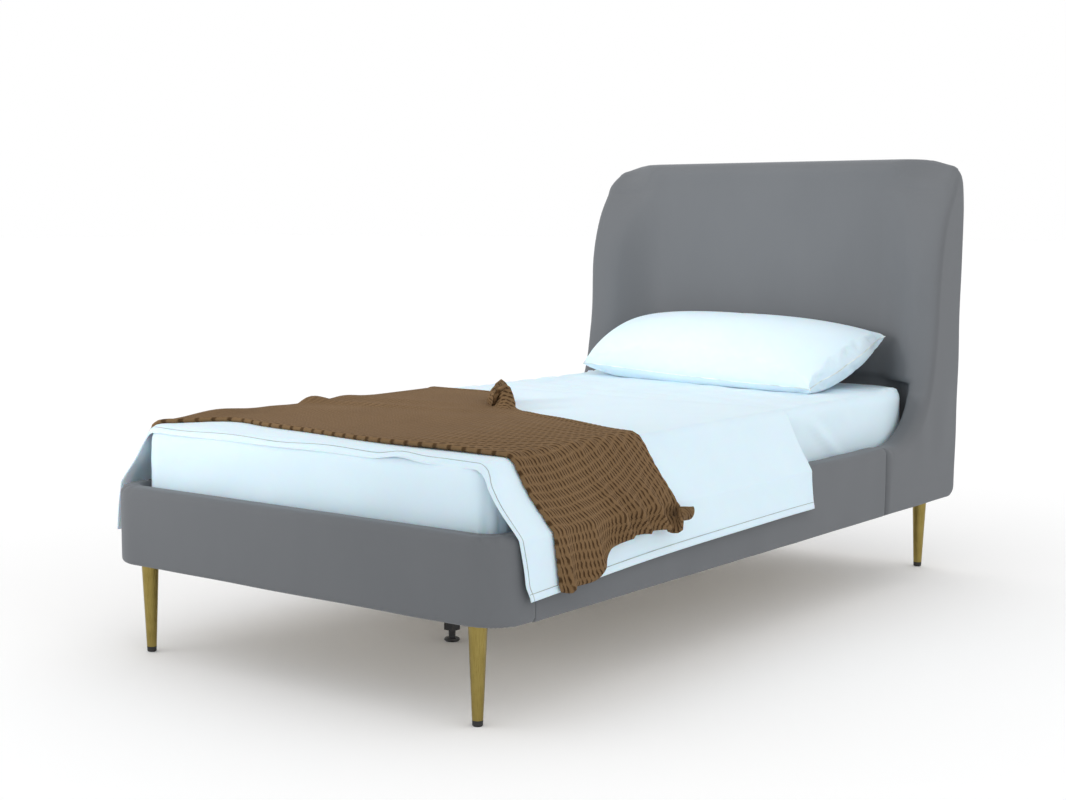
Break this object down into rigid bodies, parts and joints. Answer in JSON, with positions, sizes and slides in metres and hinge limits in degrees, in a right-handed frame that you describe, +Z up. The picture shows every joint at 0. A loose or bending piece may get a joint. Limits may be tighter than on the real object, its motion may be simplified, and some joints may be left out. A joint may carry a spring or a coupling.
{
  "type": "upholstered platform bed",
  "caption": "Twin platform bed with velvet rails, a curved winged headboard, tapered metal legs and a slatted base, dressed with mattress, sheets, knitted throw and pillow.",
  "frame": {"origin": "on the floor, under the middle of the bed's length and width", "axes": "+Y from the foot to the headboard, +Z up, +X to the right seen from the foot"},
  "size_m": [1.144, 2.08, 1.122],
  "materials": {
    "velvet": "matte",
    "frame_timber": "matte",
    "slat_wood": "matte",
    "brass_leg": "satin",
    "floor_tip": "matte",
    "black_steel": "satin",
    "black_plastic": "matte",
    "mattress_ticking": "matte",
    "pillow_ticking": "matte",
    "white_cotton": "matte",
    "brown_knit": "matte"
  },
  "bodies": {
    "frame": {"beam_bracket_foot": "black_steel", "beam_bracket_head": "black_steel", "centre_beam": "frame_timber", "centre_leg_1": "black_plastic", "centre_leg_2": "black_plastic", "centre_leg_3": "black_plastic", "corner_block_left": "frame_timber", "corner_block_right": "frame_timber", "foot_bracket_left": "black_steel", "foot_bracket_right": "black_steel", "footboard_core": "frame_timber", "footboard_upholstery": "velvet", "head_bracket_left": "black_steel", "head_bracket_right": "black_steel", "headboard_back_panel": "velvet", "headboard_bottom_rail": "frame_timber", "headboard_face_board": "frame_timber", "headboard_post_left": "frame_timber", "headboard_post_right": "frame_timber", "headboard_top_rail": "frame_timber", "headboard_upholstery": "velvet", "leg_foot_left": "brass_leg", "leg_foot_right": "brass_leg", "leg_head_left": "brass_leg", "leg_head_right": "brass_leg", "leg_tip_foot_left": "floor_tip", "leg_tip_foot_right": "floor_tip", "leg_tip_head_left": "floor_tip", "leg_tip_head_right": "floor_tip", "leg_washer_foot_left": "black_steel", "leg_washer_foot_right": "black_steel", "leg_washer_head_left": "black_steel", "leg_washer_head_right": "black_steel", "side_rail_board_left": "frame_timber", "side_rail_board_right": "frame_timber", "side_rail_upholstery_left": "velvet", "side_rail_upholstery_right": "velvet", "slat_01": "slat_wood", "slat_02": "slat_wood", "slat_03": "slat_wood", "slat_04": "slat_wood", "slat_05": "slat_wood", "slat_06": "slat_wood", "slat_07": "slat_wood", "slat_08": "slat_wood", "slat_09": "slat_wood", "slat_10": "slat_wood", "slat_ledge_left": "frame_timber", "slat_ledge_right": "frame_timber", "wing_board_left": "frame_timber", "wing_board_right": "frame_timber"},
    "levelling_foot_1": {"levelling_foot_1": "black_plastic"},
    "levelling_foot_2": {"levelling_foot_2": "black_plastic"},
    "levelling_foot_3": {"levelling_foot_3": "black_plastic"},
    "mattress": {"mattress": "mattress_ticking", "fitted_sheet": "white_cotton"},
    "top_sheet": {"top_sheet": "white_cotton"},
    "throw": {"throw_blanket": "brown_knit"},
    "pillow": {"pillow": "pillow_ticking", "pillowcase": "white_cotton"}
  },
  "joints": [
    {"name": "levelling_screw_1", "type": "slide", "parent": "frame", "child": "levelling_foot_1", "axis": [0, 0, 1], "range_m": [-0.012, 0.012]},
    {"name": "levelling_screw_2", "type": "slide", "parent": "frame", "child": "levelling_foot_2", "axis": [0, 0, 1], "range_m": [-0.012, 0.012]},
    {"name": "levelling_screw_3", "type": "slide", "parent": "frame", "child": "levelling_foot_3", "axis": [0, 0, 1], "range_m": [-0.012, 0.012]},
    {"name": "mattress_lift", "type": "slide", "parent": "frame", "child": "mattress", "axis": [0, 0, 1], "range_m": [0, 0.3]},
    {"name": "top_sheet_lift", "type": "slide", "parent": "mattress", "child": "top_sheet", "axis": [0, 0, 1], "range_m": [0, 0.15]},
    {"name": "throw_lift", "type": "slide", "parent": "top_sheet", "child": "throw", "axis": [0, 0, 1], "range_m": [0, 0.15]},
    {"name": "pillow_lift", "type": "slide", "parent": "mattress", "child": "pillow", "axis": [0, 0, 1], "range_m": [0, 0.25]}
  ]
}
